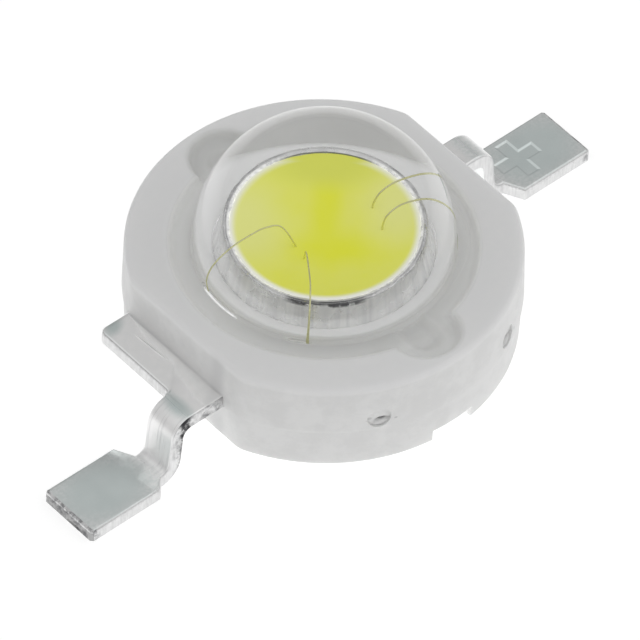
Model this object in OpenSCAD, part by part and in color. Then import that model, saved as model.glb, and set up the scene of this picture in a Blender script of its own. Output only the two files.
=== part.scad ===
// High power LED emitter: a round moulded housing with two flats, a plated heat
// slug with a reflector cup, two gull-wing leads, a wire-bonded chip under
// phosphor, and a clear dome lens filled with silicone.
// Millimetres. The origin is on the housing axis at board level, +X runs along
// the leads towards the anode, and +Z points out of the lens.

/* [Housing] */
// Diameter of the round side wall at the parting line
body_d = 8; // [7.6:0.1:9]
// Distance between the two flats that the leads come out of
across_flats = 7.3; // [7:0.1:7.5]
// Height of the top face above the board
housing_top = 2.5; // [2.4:0.05:3]
// Gap between the board and the underside of the housing
standoff = 0.34; // [0.2:0.02:0.5]
// Draft of the moulded side walls in degrees
draft = 1.5; // [0.5:0.25:3]
// Rounding of the top edge
top_edge_r = 0.12; // [0.05:0.01:0.2]
// Height of the parting line above the underside of the leads
parting_rise = 0.08; // [0.04:0.02:0.2]
// Step between the two mould halves at the parting line
parting_step = 0.03; // [0.01:0.01:0.05]
// Width of the two notches in the lower edge
notch_w = 1; // [0.6:0.1:1.6]
// Height of the two notches
notch_h = 0.3; // [0.1:0.05:0.4]
// How far the notches reach in from the wall
notch_depth = 0.45; // [0.2:0.05:0.6]
// Diameter of the gate marks in the side wall
gate_d = 0.5; // [0.3:0.05:0.7]
// Depth of the gate marks
gate_depth = 0.06; // [0.03:0.01:0.1]
// Height of the gate marks above the parting line
gate_rise = 0.3; // [0.28:0.01:0.4]
// Turn of the gate marks away from the notch side in degrees
gate_turn = 25; // [18:1:35]

/* [Cavity] */
// Diameter of the moulded collar around the slug pillar
collar_d = 3.36; // [3.2:0.04:3.5]
// Depth of the collar's top below the housing top
collar_drop = 0.42; // [0.38:0.02:0.6]
// Diameter of the trench at its floor
trench_floor_d = 4.7; // [4.5:0.05:4.8]
// Diameter of the trench at the lens seat
trench_top_d = 4.9; // [4.8:0.05:5.1]
// Thickness of the plastic over the bonding pads
pad_cover = 0.07; // [0.05:0.01:0.1]
// Diameter of the windows through which the wires reach the pads
window_d = 0.5; // [0.4:0.02:0.56]

/* [Heat slug] */
// Diameter of the solder face
slug_base_d = 5.8; // [5:0.1:6.2]
// Height of the slug base
slug_base_h = 0.6; // [0.5:0.05:0.65]
// Chamfer around the solder face
slug_chamfer = 0.05; // [0.02:0.01:0.1]
// Diameter at the bottom of the locking groove
slug_groove_d = 4.8; // [4.4:0.1:4.9]
// Height of the locking groove
slug_groove_h = 0.12; // [0.08:0.02:0.14]
// Diameter of the locking flange
slug_flange_d = 5.4; // [5:0.1:5.7]
// Height of the locking flange
slug_flange_h = 0.18; // [0.1:0.02:0.2]
// Diameter of the pillar that carries the cup
pillar_d = 2.76; // [2.7:0.02:2.9]
// Height of the cup rim above the housing top
rim_rise = 0.1; // [0.04:0.02:0.2]
// Diameter of the cup at its rim
cup_top_d = 2.58; // [2.4:0.02:2.62]
// Diameter of the cup floor
cup_floor_d = 1.9; // [1.8:0.05:2.2]
// Depth of the cup
cup_depth = 0.4; // [0.3:0.02:0.5]

/* [Leads] */
// Overall length from one lead tip to the other
lead_span = 14.4; // [13.6:0.1:15.4]
// Thickness of the lead frame
lead_t = 0.3; // [0.2:0.02:0.34]
// Height of the leads' underside where they leave the housing
lead_z = 1.24; // [1.15:0.02:1.3]
// Width of the neck that is bent down
neck_w = 0.79; // [0.6:0.05:1]
// Distance from the part's middle to the neck's outer edge
neck_edge = 1.19; // [1.1:0.05:1.4]
// Distance from the part's middle to the start of the bend
bend_x = 4.45; // [4.42:0.02:4.6]
// Inner radius of both bends
bend_r = 0.2; // [0.12:0.02:0.24]
// Lean of the riser away from upright in degrees
riser_lean = 6; // [0:1:12]
// Width of the solder foot
foot_w = 1.45; // [1.2:0.05:1.8]
// Distance from the part's middle to the middle of the foot's width
foot_offset = 0.7; // [0.6:0.05:0.9]
// Chamfer where the foot widens from the neck
foot_chamfer = 0.22; // [0.1:0.02:0.3]
// Width of the cathode's shoulder at the housing wall
cathode_shoulder_w = 2.94; // [2.4:0.02:3.2]
// How far the cathode's shoulder stands out of the housing
cathode_shoulder_out = 0.72; // [0.6:0.02:0.75]
// Width of the anode's shoulder at the housing wall
anode_shoulder_w = 2.3; // [1.6:0.1:2.6]
// How far the anode's shoulder stands out of the housing
anode_shoulder_out = 0.4; // [0.2:0.02:0.6]
// Rounding of the shoulder's outer corner
shoulder_r = 0.18; // [0.05:0.01:0.19]
// Fillet between shoulder and neck
neck_fillet = 0.12; // [0.05:0.01:0.16]
// Insulation between the slug pillar and the bonding pads
pad_gap = 0.22; // [0.15:0.01:0.28]
// Outer radius of the bonding pad
pad_out_r = 2.6; // [2.45:0.05:2.8]
// Half of the angle that a bonding pad covers in degrees
pad_half_angle = 48; // [42:1:60]

/* [Lens] */
// Radius of the dome
dome_r = 2.62; // [2.6:0.02:2.7]
// Height of the dome's centre above the housing top
dome_rise = 0.12; // [0.1:0.02:0.2]
// Wall thickness of the dome
lens_wall = 0.5; // [0.4:0.05:0.55]
// Diameter of the flange that sits in the housing
flange_d = 6; // [5.8:0.05:6.2]
// Thickness of the flange
flange_t = 0.33; // [0.3:0.01:0.36]
// Depth of the flange's top below the housing top
flange_sink = 0.02; // [0:0.01:0.04]
// Fillet around the foot of the dome
dome_fillet = 0.12; // [0.05:0.01:0.12]
// Radius of the two ears on the flange
ear_r = 0.67; // [0.6:0.01:0.7]
// Distance from the axis to the centre of each ear
ear_offset = 3; // [2.95:0.01:3.02]
// Diameter of the filling port in each ear
port_d = 0.6; // [0.4:0.05:0.7]
// Depth of the filling channel below the lens seat
channel_h = 0.25; // [0.15:0.01:0.3]
// Clearance around the flange and its ears
lens_gap = 0.05; // [0.02:0.01:0.08]

/* [Chip and bond wires] */
// Side of the square chip
chip_w = 1.14; // [0.8:0.02:1.2]
// Thickness of the chip
chip_t = 0.15; // [0.1:0.01:0.2]
// Thickness of the die attach layer
attach_t = 0.025; // [0.01:0.005:0.04]
// Margin of the die attach around the chip
attach_margin = 0.04; // [0.02:0.01:0.06]
// Diameter of a bond wire
wire_d = 0.03; // [0.02:0.005:0.05]
// Diameter of the ball and stitch bonds
bond_d = 0.1; // [0.07:0.01:0.14]
// Thickness of the ball and stitch bonds
bond_t = 0.025; // [0.015:0.005:0.04]
// Distance of the ball bonds from the chip's edge
bond_inset = 0.12; // [0.08:0.01:0.16]
// Height of the wire loops above the cup rim
loop_rise = 0.42; // [0.2:0.02:0.6]
// Reach of the rounding at the bends of the wire loops
loop_r = 0.3; // [0.1:0.02:0.36]
// Room between the stitch bonds and the lens's inner wall
stitch_room = 0.1; // [0.07:0.01:0.14]

/* [Hidden] */
$fn = 96;
// Overlap of a cut with the face that it starts from
cut = 0.01;
// Larger than the part, for cutting tools
big = 20;

lead_top = lead_z + lead_t;
trench_z = lead_top + pad_cover;
parting_z = lead_z + parting_rise;
seat_z = housing_top - flange_sink - flange_t;
flange_top = seat_z + flange_t;
dome_z = housing_top + dome_rise;
lens_inner_r = dome_r - lens_wall;
stitch_r = lens_inner_r - stitch_room;
pad_in_r = pillar_d / 2 + pad_gap;
collar_top = housing_top - collar_drop;
rim_z = housing_top + rim_rise;
cup_floor_z = rim_z - cup_depth;
chip_z = cup_floor_z + attach_t;
chip_top = chip_z + chip_t;
groove_z = slug_base_h;
lock_z = groove_z + slug_groove_h;
lock_top = lock_z + slug_flange_h;

// The riser leans out, so the lower bend lies further out than the upper one
top_bend_z = lead_z - bend_r;
low_bend_z = lead_t + bend_r;
riser_len = (top_bend_z - low_bend_z + (2 * bend_r + lead_t) * sin(riser_lean)) / cos(riser_lean);
low_bend_x = bend_x + (2 * bend_r + lead_t) * cos(riser_lean) + riser_len * sin(riser_lean);
lead_tip = lead_span / 2;

// Each wire: the place of its ball on the chip, and the direction of its stitch
// from the axis in degrees
bond_x = chip_w / 2 - bond_inset;
WIRES = [
    [[-bond_x, 0.1], 157],
    [[-bond_x, -0.2], 216],
    [[bond_x, 0.1], -4],
    [[bond_x, -0.22], -22],
];
// How far the loop's top leans out from the ball, and how far its outer end
// stays back from the stitch
loop_lean = 0.14;
loop_back = 0.16;
// Drop of a loop between its two bends
loop_drop = 0.2;
// Sides of a bond wire and steps in each of its bends
wire_sides = 8;
wire_steps = 5;

// How far the side wall at height z lies inside its place at the parting line
function wall_in(z) = tan(draft) * abs(z - parting_z) + (z < parting_z ? parting_step : 0);

// What is left of a square corner outside its inscribed circle
module corner(r) {
    difference() {
        square(r);
        translate([r, r]) circle(r);
    }
}

// Half section of a drafted side wall that is half_w wide at the parting line
module wall_section(half_w) {
    top_in = wall_in(housing_top - top_edge_r) + top_edge_r / cos(draft);
    edge_x = half_w - top_in;
    edge_z = housing_top - top_edge_r;
    union() {
        polygon([
            [0, standoff],
            [half_w - wall_in(standoff), standoff],
            [half_w - parting_step, parting_z],
            [half_w, parting_z],
            [edge_x + top_edge_r * cos(draft), edge_z + top_edge_r * sin(draft)],
            [edge_x, edge_z],
            [edge_x, housing_top],
            [0, housing_top],
        ]);
        translate([edge_x, edge_z]) circle(top_edge_r);
    }
}

// Outer form of the housing: a drafted round body cut by two drafted flats
module body_form() {
    intersection() {
        rotate_extrude() wall_section(body_d / 2);
        rotate([90, 0, 0])
            linear_extrude(big, center = true) {
                wall_section(across_flats / 2);
                mirror([1, 0]) wall_section(across_flats / 2);
            }
    }
}

// Outline of the lens flange with its two ears, grown by gap
module flange_outline(gap) {
    circle(flange_d / 2 + gap);
    for (side = [-1, 1])
        translate([0, side * ear_offset]) circle(ear_r + gap);
}

// Filling ports from the channel floor up to height top
module ports(top) {
    for (side = [-1, 1])
        translate([0, side * ear_offset, seat_z - channel_h])
            cylinder(d = port_d, h = top - seat_z + channel_h);
}

// Channels that lead from the ports to the trench
module channels() {
    inner = trench_floor_d / 2 - cut;
    for (side = [0, 180])
        rotate([0, 0, side])
            translate([-port_d / 2, inner, seat_z - channel_h])
                cube([port_d, ear_offset - inner, channel_h]);
}

// Ring-shaped trench around the collar, from over the lead pads up to the lens seat
module trench() {
    difference() {
        translate([0, 0, trench_z])
            cylinder(d1 = trench_floor_d, d2 = trench_top_d, h = seat_z - trench_z);
        translate([0, 0, trench_z - cut])
            cylinder(d = collar_d, h = collar_top - trench_z + cut);
    }
}

// Windows in the trench floor, one over each stitch bond
module windows() {
    for (wire = WIRES)
        rotate([0, 0, wire[1]])
            translate([stitch_r, 0, lead_top])
                cylinder(d = window_d, h = pad_cover + cut);
}

module housing() {
    color("gainsboro")
        difference() {
            body_form();
            translate([0, 0, seat_z]) linear_extrude(big) flange_outline(lens_gap);
            trench();
            windows();
            channels();
            ports(seat_z + cut);
            slug_form();
            lead_plate(anode_shoulder_w, anode_shoulder_out);
            rotate([0, 0, 180]) lead_plate(cathode_shoulder_w, cathode_shoulder_out);
            notches();
            gate_marks();
        }
}

module notches() {
    for (side = [0, 180])
        rotate([0, 0, side])
            translate([-notch_w / 2, body_d / 2 - notch_depth, standoff - cut])
                cube([notch_w, notch_depth + cut, notch_h + cut]);
}

module gate_marks() {
    for (side = [-1, 1])
        rotate([0, 0, -90 + side * gate_turn])
            translate([body_d / 2 - gate_depth - wall_in(parting_z + gate_rise), 0, parting_z + gate_rise])
                rotate([0, 90, 0])
                    cylinder(d = gate_d, h = big);
}

// Turned form of the slug without its cup
module slug_form() {
    rotate_extrude()
        polygon([
            [0, 0],
            [slug_base_d / 2 - slug_chamfer, 0],
            [slug_base_d / 2, slug_chamfer],
            [slug_base_d / 2, groove_z],
            [slug_groove_d / 2, groove_z],
            [slug_groove_d / 2, lock_z],
            [slug_flange_d / 2, lock_z],
            [slug_flange_d / 2, lock_top],
            [pillar_d / 2, lock_top],
            [pillar_d / 2, rim_z],
            [0, rim_z],
        ]);
}

module cup() {
    translate([0, 0, cup_floor_z])
        cylinder(d1 = cup_floor_d, d2 = cup_top_d, h = cup_depth);
}

module heat_slug() {
    color("silver")
        difference() {
            slug_form();
            cup();
        }
}

// Flat part of a lead: bonding pad, shoulder and the start of the neck
module lead_plate(shoulder_w, shoulder_out) {
    shoulder_x = across_flats / 2 + shoulder_out;
    low_y = neck_edge - shoulder_w;
    translate([0, 0, lead_z])
        linear_extrude(lead_t) {
            bonding_pad();
            difference() {
                translate([pad_in_r * cos(pad_half_angle), low_y])
                    square([shoulder_x - pad_in_r * cos(pad_half_angle), shoulder_w]);
                circle((pad_in_r + pad_out_r) / 2);
                translate([shoulder_x, low_y]) rotate(90) corner(shoulder_r);
            }
            translate([shoulder_x, neck_edge - neck_w]) rotate(-90) corner(neck_fillet);
            translate([shoulder_x - cut, neck_edge - neck_w])
                square([bend_x - shoulder_x + cut, neck_w]);
        }
}

module bonding_pad() {
    reach = pad_out_r * 2;
    intersection() {
        difference() {
            circle(pad_out_r);
            circle(pad_in_r);
        }
        polygon([
            [0, 0],
            [reach, -reach * tan(pad_half_angle)],
            [reach, reach * tan(pad_half_angle)],
        ]);
    }
}

// Bend of the neck about the Y axis, from one angle to another
module bend(from, to) {
    translate([0, neck_edge, 0])
        rotate([90, 0, 0])
            rotate([0, 0, from])
                rotate_extrude(angle = to - from)
                    translate([bend_r, 0]) square([lead_t, neck_w]);
}

module lead_legs() {
    translate([bend_x, 0, top_bend_z]) bend(riser_lean, 90);
    translate([bend_x, neck_edge - neck_w, top_bend_z])
        rotate([0, -riser_lean, 0])
            translate([bend_r, 0, -riser_len])
                cube([lead_t, neck_w, riser_len]);
    translate([low_bend_x, 0, low_bend_z]) bend(180 + riser_lean, 270);
    foot();
}

module foot() {
    linear_extrude(lead_t)
        polygon([
            [low_bend_x, neck_edge - neck_w],
            [low_bend_x + foot_chamfer, foot_offset - foot_w / 2],
            [lead_tip, foot_offset - foot_w / 2],
            [lead_tip, foot_offset + foot_w / 2],
            [low_bend_x + foot_chamfer, foot_offset + foot_w / 2],
            [low_bend_x, neck_edge],
        ]);
}

module lead(shoulder_w, shoulder_out) {
    lead_plate(shoulder_w, shoulder_out);
    lead_legs();
}

module cathode_lead() {
    color("lightgray")
        rotate([0, 0, 180]) lead(cathode_shoulder_w, cathode_shoulder_out);
}

module anode_lead() {
    color("lightgray")
        lead(anode_shoulder_w, anode_shoulder_out);
}

module die_attach() {
    side = chip_w + 2 * attach_margin;
    color("darkgray")
        translate([-side / 2, -side / 2, cup_floor_z])
            cube([side, side, attach_t]);
}

module led_chip() {
    color("steelblue")
        translate([-chip_w / 2, -chip_w / 2, chip_z])
            cube([chip_w, chip_w, chip_t]);
}

// Points of a smooth curve that rounds the corner b between a and c
function rounded(a, b, c) =
    let (
        start = b + loop_r * (a - b) / norm(a - b),
        end = b + loop_r * (c - b) / norm(c - b)
    )
    [for (k = [0:wire_steps]) let (t = k / wire_steps)
        (1 - t) * (1 - t) * start + 2 * t * (1 - t) * b + t * t * end];

// Direction of a path at its point k
function heading(path, k) =
    let (run = path[min(k + 1, len(path) - 1)] - path[max(k - 1, 0)])
    atan2(run.y, run.x);

// Round wire swept along a path in the XZ plane
module swept_wire(path) {
    last = len(path) - 1;
    rings = [for (k = [0:last]) let (h = heading(path, k))
        for (j = [0:wire_sides - 1]) let (a = 360 * j / wire_sides)
            [
                path[k].x - sin(h) * cos(a) * wire_d / 2,
                sin(a) * wire_d / 2,
                path[k].y + cos(h) * cos(a) * wire_d / 2,
            ]];
    sides = [for (k = [0:last - 1], j = [0:wire_sides - 1]) let (n = (j + 1) % wire_sides)
        [
            k * wire_sides + j,
            (k + 1) * wire_sides + j,
            (k + 1) * wire_sides + n,
            k * wire_sides + n,
        ]];
    start_cap = [for (j = [0:wire_sides - 1]) j];
    end_cap = [for (j = [wire_sides - 1:-1:0]) last * wire_sides + j];
    polyhedron(rings, concat(sides, [start_cap, end_cap]));
}

// Wire over the corners p0, p1, p2 and p3 of its own plane, bent at p1 and p2
module wire_run(p0, p1, p2, p3) {
    swept_wire(concat([p0], rounded(p0, p1, p2), rounded(p1, p2, p3), [p3]));
}

module bond_wire(i) {
    ball = WIRES[i][0];
    turn = WIRES[i][1];
    stitch = stitch_r * [cos(turn), sin(turn)];
    run = stitch - ball;
    reach = norm(run);
    loop_z = rim_z + loop_rise;
    color("gold")
        translate([ball.x, ball.y, 0])
            rotate([0, 0, atan2(run.y, run.x)]) {
                translate([0, 0, chip_top]) cylinder(d = bond_d, h = bond_t);
                wire_run(
                    [0, chip_top + bond_t / 2],
                    [loop_lean, loop_z],
                    [reach - loop_back, loop_z - loop_drop],
                    [reach, lead_top + bond_t / 2]
                );
                translate([reach, 0, lead_top]) cylinder(d = bond_d, h = bond_t);
            }
}

module phosphor_fill() {
    color("gold")
        difference() {
            cup();
            die_attach();
            led_chip();
            for (i = [0:len(WIRES) - 1]) bond_wire(i);
        }
}

module silicone_fill() {
    color("whitesmoke")
        difference() {
            union() {
                translate([0, 0, dome_z]) upper_half() sphere(lens_inner_r);
                translate([0, 0, seat_z]) cylinder(r = lens_inner_r, h = dome_z - seat_z);
                trench();
                windows();
                channels();
                ports(flange_top);
            }
            cylinder(d = pillar_d, h = rim_z);
            for (i = [0:len(WIRES) - 1]) bond_wire(i);
        }
}

// What lies above the child's own XY plane
module upper_half() {
    intersection() {
        children();
        translate([-big / 2, -big / 2, 0]) cube(big);
    }
}

module lens() {
    color("white", 0.4)
        difference() {
            union() {
                translate([0, 0, seat_z]) linear_extrude(flange_t) flange_outline(0);
                translate([0, 0, seat_z]) cylinder(r = dome_r, h = dome_z - seat_z);
                translate([0, 0, dome_z]) upper_half() sphere(dome_r);
                translate([0, 0, flange_top])
                    rotate_extrude()
                        translate([dome_r, 0]) corner(dome_fillet);
            }
            translate([0, 0, seat_z - cut]) cylinder(r = lens_inner_r, h = dome_z - seat_z + cut);
            translate([0, 0, dome_z]) sphere(lens_inner_r);
            ports(flange_top + cut);
        }
}

housing();
heat_slug();
cathode_lead();
anode_lead();
die_attach();
led_chip();
bond_wire(0);  // bond_wire_1
bond_wire(1);  // bond_wire_2
bond_wire(2);  // bond_wire_3
bond_wire(3);  // bond_wire_4
phosphor_fill();
silicone_fill();
lens();
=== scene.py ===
import math

import bpy
from mathutils import Matrix, Vector, noise


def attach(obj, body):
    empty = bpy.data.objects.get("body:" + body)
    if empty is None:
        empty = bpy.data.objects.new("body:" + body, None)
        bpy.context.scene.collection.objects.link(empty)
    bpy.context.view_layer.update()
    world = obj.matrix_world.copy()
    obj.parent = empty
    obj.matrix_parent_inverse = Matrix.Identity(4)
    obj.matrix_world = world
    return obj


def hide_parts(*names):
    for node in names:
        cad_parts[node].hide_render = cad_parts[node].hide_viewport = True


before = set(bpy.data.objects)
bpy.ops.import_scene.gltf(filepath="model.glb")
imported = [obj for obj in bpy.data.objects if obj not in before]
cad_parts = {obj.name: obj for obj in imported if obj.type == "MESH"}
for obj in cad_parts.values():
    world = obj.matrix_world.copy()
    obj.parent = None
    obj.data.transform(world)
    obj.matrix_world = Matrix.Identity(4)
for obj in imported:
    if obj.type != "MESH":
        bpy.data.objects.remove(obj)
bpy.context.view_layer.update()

# Sizes are millimetres, as in the part's source, and become metres in new_object().
MM = 0.001

# Housing
BODY_R = 4.0
FLAT_X = 3.65
STANDOFF = 0.34
HOUSING_TOP = 2.5
PARTING_Z = 1.32
PARTING_STEP = 0.03
DRAFT = math.radians(1.5)
TOP_EDGE_R = 0.12
LOW_EDGE_R = 0.05
CORNER_BLEND = 0.05
NOTCH_W, NOTCH_H, NOTCH_DEPTH = 1.0, 0.3, 0.45
GATE_R, GATE_DEPTH, GATE_Z = 0.25, 0.06, 1.62
GATE_ANGLES = (-115, -65)

# Cavity, lens and gel
RECESS_R = 3.05
EAR_R = 0.72
EAR_Y = 3.0
EAR_BLEND = 0.08
LIP_R, SEAT_FILLET = 0.1, 0.14
SEAT_Z = 2.15
TRENCH_FLOOR_Z = 1.61
TRENCH_FLOOR_R, TRENCH_TOP_R = 2.35, 2.45
TRENCH_EDGE_R = 0.1
COLLAR_R, COLLAR_Z, COLLAR_EDGE_R = 1.68, 2.08, 0.06
PORT_R, PORT_EDGE, CHANNEL_FLOOR_Z = 0.3, 0.14, 1.9
WINDOW_R, PAD_TOP_Z = 0.25, 1.54
STITCH_R, STITCH_TURNS = 2.02, (157, 216, -4, -22)
DOME_R, DOME_Z = 2.62, 2.62
FLANGE_TOP_Z = 2.48
DOME_FILLET = 0.12
# How far the gel overlaps what it touches, and the gap left round the slug
CONTACT = 0.01
HAIR = 0.005

# Slug, cup and phosphor
SLUG_R, SLUG_CHAMFER = 2.9, 0.05
GROOVE_R, GROOVE_Z = 2.4, 0.6
LOCK_R, LOCK_Z, LOCK_TOP_Z = 2.7, 0.72, 0.9
PILLAR_R = 1.38
RIM_Z = 2.6
CUP_R, CUP_FLOOR_R, CUP_FLOOR_Z = 1.29, 0.95, 2.2
RIM_IN_R, RIM_OUT_R, RIM_WAVE = 0.01, 0.045, 0.008
PHOSPHOR_TOP, PHOSPHOR_BULGE = RIM_Z - 0.002, 0.006

# Leads
LEAD_T = 0.3
LEAD_Z = 1.24
NECK_LOW, NECK_HIGH = 0.4, 1.19
BEND_X, BEND_R = 4.45, 0.2
LEAN = math.radians(6)
FOOT_LOW, FOOT_HIGH = -0.025, 1.425
FOOT_CHAMFER, FOOT_CORNER = 0.22, 0.06
LEAD_TIP = 7.2
PAD_IN_R, PAD_OUT_R, PAD_HALF = 1.6, 2.6, math.radians(48)
# Each shoulder's width and how far it stands out of the housing
CATHODE_SHOULDER = (2.94, 0.72)
ANODE_SHOULDER = (2.3, 0.4)
SHOULDER_R, NECK_FILLET = 0.18, 0.12

# Plus sign pressed into the anode's foot: middle, half sizes, depth and the sides' run
MARK_X, MARK_Y = 5.9, 0.75
MARK_REACH, MARK_HALF = 0.525, 0.17
MARK_DEPTH, MARK_RUN = 0.02, 0.048


def lerp(a, b, t):
    return a + (b - a) * t


def rise(value, low, high):
    """0 below low and 1 above high, with a smooth step between."""
    t = max(0.0, min(1.0, (value - low) / (high - low)))
    return t * t * (3 - 2 * t)


def band(value, up, down):
    """0 outside a band and 1 inside it, with smooth steps over both ranges."""
    return rise(value, *up) * (1 - rise(value, *down))


def bell(value, middle, half):
    """1 at the middle, falling off smoothly to both sides."""
    return math.exp(-(((value - middle) / half) ** 2))


def smooth_min(a, b, k):
    """The smaller of a and b, rounded over where they are within k."""
    h = max(0.0, min(1.0, 0.5 + 0.5 * (b - a) / k))
    return lerp(b, a, h) - k * h * (1 - h)


def arc(cx, cz, r, start, end, steps):
    """Points of an arc round (cx, cz), angles in degrees."""
    turns = [math.radians(lerp(start, end, i / steps)) for i in range(steps + 1)]
    return [(cx + r * math.cos(turn), cz + r * math.sin(turn)) for turn in turns]


# Meshes

def new_object(name, verts, faces):
    """An object in the scene from vertices in millimetres."""
    mesh = bpy.data.meshes.new(name)
    mesh.from_pydata([(x * MM, y * MM, z * MM) for x, y, z in verts], [], faces)
    made = bpy.data.objects.new(name, mesh)
    bpy.context.scene.collection.objects.link(made)
    return made


def shade(mesh, sharp):
    """Smooth shading, with edges sharper than the angle in degrees kept."""
    mesh.shade_smooth()
    mesh.set_sharp_from_angle(angle=math.radians(sharp))


def mesh_piece(name, verts, faces, nodes, sharp=35, face_slots=None):
    """A piece of the object that rides on the root body and replaces the nodes' solids."""
    piece = new_object(name, verts, faces)
    piece.data.validate()
    if face_slots:
        piece.data.polygons.foreach_set("material_index", face_slots)
    shade(piece.data, sharp)
    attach(piece, "root")
    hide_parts(*nodes)
    return piece


def stitch(count, rings, wrap=False):
    """Quads between neighbouring rings of count vertices, the last joined to the first if wrap."""
    faces = []
    for k in range(rings if wrap else rings - 1):
        a, b = k * count, (k + 1) % rings * count
        for i in range(count):
            j = (i + 1) % count
            faces.append((a + i, a + j, b + j, b + i))
    return faces


def prism(outline, low, high, top=None):
    """Vertices and faces of an upright prism from a counter-clockwise outline to one at its top."""
    n = len(outline)
    verts = [(x, y, low) for x, y in outline] + [(x, y, high) for x, y in top or outline]
    faces = [tuple(range(n))[::-1], tuple(range(n, 2 * n))] + stitch(n, 2)
    return verts, faces


def rotated(verts, degrees):
    turn = Matrix.Rotation(math.radians(degrees), 3, "Z")
    return [tuple(turn @ Vector(v)) for v in verts]


def prism_tool(outline, low, high, turn):
    """An upright prism for a boolean operation, turned about the axis."""
    verts, faces = prism(outline, low, high)
    return new_object("tool", rotated(verts, turn), faces)


def combine(piece, tools, operation, sharp=35):
    """Applies boolean operations with the tools to the piece's mesh and deletes the tools."""
    for tool in tools:
        step = piece.modifiers.new("cut", "BOOLEAN")
        step.operation = operation
        step.solver = "EXACT"
        step.object = tool
    graph = bpy.context.evaluated_depsgraph_get()
    made = bpy.data.meshes.new_from_object(piece.evaluated_get(graph))
    piece.modifiers.clear()
    piece.data = made
    shade(made, sharp)
    for tool in tools:
        bpy.data.objects.remove(tool)


# Outlines by angle

def angles():
    """Angles round the axis, closer together at the flats' corners and the ears."""
    found = {round(i * 1.5, 3) for i in range(240)}
    corner = math.degrees(math.acos(FLAT_X / BODY_R))
    ear = math.degrees(math.asin(EAR_R / EAR_Y))
    for middle, half, steps in ((corner, 3, 12), (90 - ear, 1.6, 16), (90, 11, 26)):
        for i in range(-steps, steps + 1):
            turn = middle + half * i / steps
            found |= {round(a % 360, 3) for a in (turn, -turn, 180 - turn, 180 + turn)}
    return [math.radians(a) for a in sorted(found)]


ANGLES = angles()


def wall_in(z):
    """How far the drafted side wall at height z lies inside its place at the parting line."""
    return math.tan(DRAFT) * abs(z - PARTING_Z)


def body(inset):
    """Outline of the housing, moved in by inset."""
    def radius(a):
        flat = (FLAT_X - inset) / max(abs(math.cos(a)), 1e-6)
        return smooth_min(BODY_R - inset, flat, CORNER_BLEND)
    return radius


def recess(grow):
    """Outline of the recess for the flange and its two ears, grown outwards."""
    def radius(a):
        across, along = EAR_Y * abs(math.cos(a)), EAR_Y * abs(math.sin(a))
        room = (EAR_R + grow) ** 2 - across ** 2
        ear = along + math.sqrt(room) if room > 0 else 0
        return -smooth_min(-(RECESS_R + grow), -ear, EAR_BLEND)
    return radius


def circle(r):
    return lambda a: r


def between(first, second, t):
    return lambda a: lerp(first(a), second(a), t)


def loft(stations):
    """Vertices of rings, each given as a radius by angle and a height or height function."""
    verts = []
    for radius, z in stations:
        for a in ANGLES:
            r = radius(a)
            verts.append((r * math.cos(a), r * math.sin(a), z(r, a) if callable(z) else z))
    return verts


def turned(profile):
    return [(circle(r), z) for r, z in profile]


def closed(verts, rings, top, bottom):
    """Faces of a solid whose rings run from a pole at top outwards and down to one at bottom."""
    n = len(ANGLES)
    faces = [face[::-1] for face in stitch(n, rings)]
    pole, last = len(verts), (rings - 1) * n
    verts += [(0, 0, top), (0, 0, bottom)]
    for i in range(n):
        j = (i + 1) % n
        faces += [(pole, i, j), (pole + 1, last + j, last + i)]
    return faces


# Housing

def housing_stations():
    low_in = wall_in(STANDOFF) + PARTING_STEP
    stations = [(circle(SLUG_R + HAIR), STANDOFF)]
    for r, z in arc(0, 0, LOW_EDGE_R, -90, 0, 4):
        stations.append((body(low_in + LOW_EDGE_R - r), STANDOFF + LOW_EDGE_R + z))
    for i in range(1, 8):
        z = lerp(STANDOFF + LOW_EDGE_R, PARTING_Z - 0.03, i / 7)
        stations.append((body(wall_in(z) + PARTING_STEP), z))
    # The step at the parting line, a little rounded
    stations += [
        (body(PARTING_STEP), PARTING_Z - 0.012),
        (body(PARTING_STEP * 0.6), PARTING_Z - 0.004),
        (body(0.004), PARTING_Z),
        (body(0), PARTING_Z + 0.006),
    ]
    edge_z = HOUSING_TOP - TOP_EDGE_R
    for i in range(1, 9):
        z = lerp(PARTING_Z + 0.006, edge_z, i / 9)
        stations.append((body(wall_in(z)), z))
    edge_in = wall_in(edge_z) + TOP_EDGE_R
    for r, z in arc(0, 0, TOP_EDGE_R, 0, 90, 8):
        stations.append((body(edge_in - r), edge_z + z))
    outer, inner = body(edge_in), recess(LIP_R)
    stations += [(between(outer, inner, i / 8), HOUSING_TOP) for i in range(1, 8)]
    stations += cavity_stations(0)
    stations += turned([
        (PILLAR_R + HAIR, COLLAR_Z),
        (PILLAR_R + HAIR, LOCK_TOP_Z + HAIR),
        (LOCK_R + HAIR, LOCK_TOP_Z + HAIR),
        (LOCK_R + HAIR, LOCK_Z),
        (GROOVE_R + HAIR, LOCK_Z),
        (GROOVE_R + HAIR, GROOVE_Z + HAIR),
        (SLUG_R + HAIR, GROOVE_Z + HAIR),
    ])
    return stations


def seat_z(r, a):
    """Height of the recess's floor, with a port in each ear and its channel to the trench."""
    x, y = r * math.cos(a), abs(r * math.sin(a))
    away = math.hypot(x, max(0, y - EAR_Y))
    return lerp(CHANNEL_FLOOR_Z, SEAT_Z, rise(away, PORT_R - PORT_EDGE, PORT_R + PORT_EDGE))


def floor_at(z, grow):
    """A height function: z grown into the plastic, and lower where the ports are."""
    return lambda r, a: min(z, seat_z(r, a)) - grow


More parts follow.
